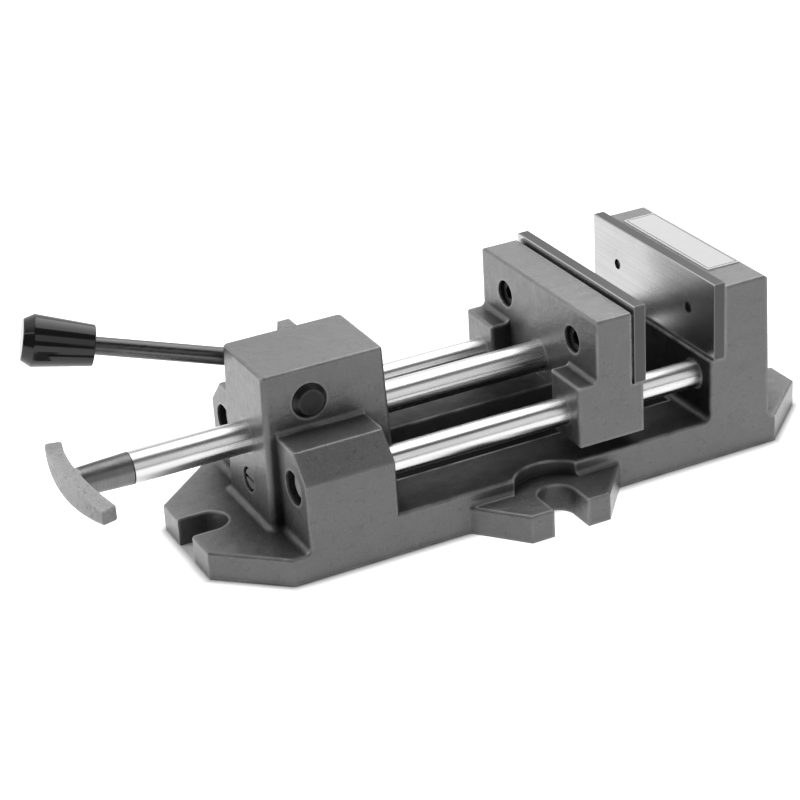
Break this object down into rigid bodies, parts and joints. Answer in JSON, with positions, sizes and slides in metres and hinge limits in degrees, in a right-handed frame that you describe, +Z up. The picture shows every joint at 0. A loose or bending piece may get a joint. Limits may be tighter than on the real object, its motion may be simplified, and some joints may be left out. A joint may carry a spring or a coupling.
{
  "type": "machine vise",
  "caption": "Low machine vise whose jaw slides on round guide rods, pulled by a crescent handle and locked by a side cam lever.",
  "frame": {"origin": "middle of the base on its underside, centred between the four bolt slots", "axes": "+X from the pull handle to the fixed jaw, +Y to the side of the cam lever, +Z up"},
  "size_m": [0.352, 0.1464, 0.1031],
  "materials": {
    "casting_paint": "satin grey paint over as-cast iron",
    "handle_paint": "light grey fine-sand casting",
    "ground_steel": "surface-ground",
    "rod_steel": "centreless ground and polished",
    "black_steel": "black oxide",
    "lever_steel": "dark oiled bar",
    "phenolic": "polished black phenolic",
    "brass": "turned",
    "spring_steel": "oil tempered",
    "label_face": "blank white label with a thin dark border"
  },
  "bodies": {
    "base": {"base_casting": "casting_paint", "guide_rod_near": "rod_steel", "guide_rod_far": "rod_steel", "guide_rod_set_screws": "black_steel", "fixed_jaw_plate": "ground_steel", "fixed_plate_screws": "black_steel", "label_plate": "label_face", "adjusting_screw": "black_steel", "dog_spring": "spring_steel"},
    "jaw": {"movable_jaw": "casting_paint", "movable_jaw_plate": "ground_steel", "movable_plate_screws": "black_steel", "pull_rod": "rod_steel", "pull_rod_pin": "black_steel", "pull_handle": "handle_paint", "pull_handle_pin": "black_steel"},
    "lever": {"camshaft": "black_steel", "camshaft_ring": "spring_steel", "hub_washer": "ground_steel", "lever_hub": "handle_paint", "hub_pin": "black_steel", "lever_rod": "lever_steel", "knob_insert": "brass", "lever_knob": "phenolic"},
    "dog": {"locking_dog": "black_steel"}
  },
  "joints": [
    {"name": "jaw_slide", "type": "slide", "parent": "base", "child": "jaw", "axis": [1, 0, 0], "range_m": [-0.086, 0.0353]},
    {"name": "lever_turn", "type": "hinge", "parent": "base", "child": "lever", "pos_m": [-0.0964, 0, 0.0687], "axis": [0, 1, 0], "range_deg": [-15, 65]},
    {"name": "dog_tilt", "type": "hinge", "parent": "base", "child": "dog", "pos_m": [-0.089, 0, 0.0275], "axis": [0, 1, 0], "range_deg": [-2.2, 0.52], "deforming": ["dog_spring"]}
  ],
  "couplings": [
    {"joint": "dog_tilt", "follows": "lever_turn", "ratio": -0.0334}
  ]
}
